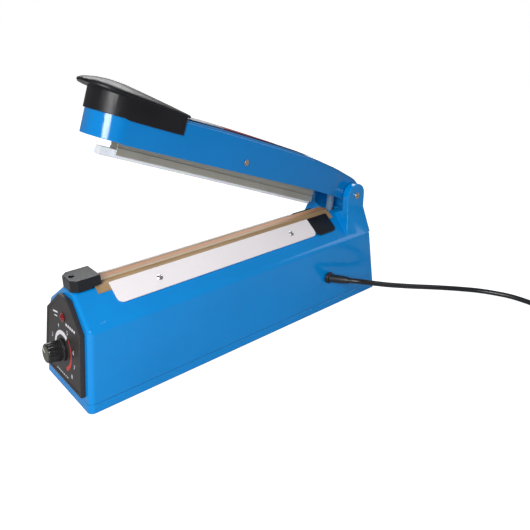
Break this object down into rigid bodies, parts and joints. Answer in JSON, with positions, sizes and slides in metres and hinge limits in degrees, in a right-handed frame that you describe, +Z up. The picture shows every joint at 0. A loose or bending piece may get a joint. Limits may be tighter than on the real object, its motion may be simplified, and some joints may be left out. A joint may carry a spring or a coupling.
{
  "type": "impulse heat sealer",
  "caption": "Hand impulse heat sealer for plastic bags: blue painted body, hinged arm with press bar standing open, heating strip, timer dial panel and mains cord.",
  "frame": {"origin": "under the middle of the sealer (cord left out), on the plane its rubber feet stand on", "axes": "+X along the body to the hinge end, -Y to the side the cord leaves, +Z up"},
  "size_m": [0.5594, 0.2976, 0.2323],
  "materials": {
    "blue_paint": "gloss",
    "black_plastic": "satin",
    "panel_plastic": "matt",
    "red_lens": "gloss",
    "zinc_steel": "satin",
    "brass": "satin",
    "aluminium": "satin",
    "white_plate": "gloss",
    "ptfe_cloth": "satin",
    "silicone": "satin",
    "nylon": "gloss",
    "rubber": "matt",
    "nichrome": "satin",
    "laminate": "matt",
    "core_steel": "satin",
    "copper_winding": "satin",
    "cord_pvc": "satin"
  },
  "bodies": {
    "base": {"body_shell": "blue_paint", "hinge_pad_front": "black_plastic", "hinge_pad_rear": "black_plastic", "end_block": "black_plastic", "micro_switch": "black_plastic", "mains_plug": "black_plastic", "heater_strip": "black_plastic", "control_panel": "panel_plastic", "indicator_lamp": "red_lens", "potentiometer": "zinc_steel", "base_plate": "zinc_steel", "base_screw_1": "zinc_steel", "base_screw_2": "zinc_steel", "base_screw_3": "zinc_steel", "base_screw_4": "zinc_steel", "clamp_screw_1": "zinc_steel", "clamp_screw_2": "zinc_steel", "clamp_screw_3": "zinc_steel", "clamp_screw_4": "zinc_steel", "transformer_strap": "zinc_steel", "return_spring": "zinc_steel", "switch_bracket": "zinc_steel", "end_block_screw": "zinc_steel", "hinge_ring_front": "zinc_steel", "hinge_ring_rear": "zinc_steel", "hinge_pin": "brass", "plug_pin_1": "brass", "plug_pin_2": "brass", "clamp_plate_front": "white_plate", "clamp_plate_rear": "white_plate", "ptfe_cloth": "ptfe_cloth", "strain_relief": "rubber", "rubber_foot_1": "rubber", "rubber_foot_2": "rubber", "rubber_foot_3": "rubber", "rubber_foot_4": "rubber", "heating_wire": "nichrome", "timer_board": "laminate", "transformer_core": "core_steel", "transformer_coil": "copper_winding", "mains_cord": "cord_pvc", "cord_coil": "cord_pvc", "cord_tail": "cord_pvc"},
    "arm": {"arm_shell": "blue_paint", "handle": "black_plastic", "handle_screw_1": "zinc_steel", "handle_screw_2": "zinc_steel", "label_plate": "aluminium", "bar_pivot_pin": "brass", "rod_pin": "zinc_steel", "bar_ring_front": "zinc_steel", "bar_ring_rear": "zinc_steel", "bar_spring_1": "zinc_steel", "bar_spring_2": "zinc_steel"},
    "press_bar": {"press_bar": "aluminium", "silicone_strip": "silicone"},
    "push_rod": {"push_rod": "nylon"},
    "switch_lever": {"switch_lever": "zinc_steel"},
    "timer_knob": {"timer_knob": "black_plastic", "knob_shaft": "brass"}
  },
  "joints": [
    {"name": "arm_hinge", "type": "hinge", "parent": "base", "child": "arm", "pos_m": [0.14494, 0, 0.1023], "axis": [0, -1, 0], "range_deg": [0, 19.3], "stiffness_Nm_per_rad": 0.9, "springref_deg": -76.38},
    {"name": "press_bar_rock", "type": "hinge", "parent": "arm", "child": "press_bar", "pos_m": [0.01032, 0, 0.15741], "axis": [0, -1, 0], "range_deg": [0, 2.26]},
    {"name": "push_rod_slide", "type": "slide", "parent": "base", "child": "push_rod", "axis": [-0.1392, 0, -0.9903], "range_m": [0, 0.00256], "deforming": ["return_spring"]},
    {"name": "switch_lever_tilt", "type": "hinge", "parent": "base", "child": "switch_lever", "pos_m": [0.13981, 0, 0.04684], "axis": [0, -1, 0], "range_deg": [0, 12.98]},
    {"name": "timer_knob_turn", "type": "hinge", "parent": "base", "child": "timer_knob", "pos_m": [-0.14836, 0, 0.037], "axis": [0.9903, 0, -0.139], "range_deg": [-90, 180]}
  ],
  "couplings": [
    {"joint": "press_bar_rock", "follows": "arm_hinge", "ratio": 0.11658},
    {"joint": "push_rod_slide", "follows": "arm_hinge", "m_per_rad": 0.007306},
    {"joint": "switch_lever_tilt", "follows": "arm_hinge", "ratio": 0.66743}
  ]
}
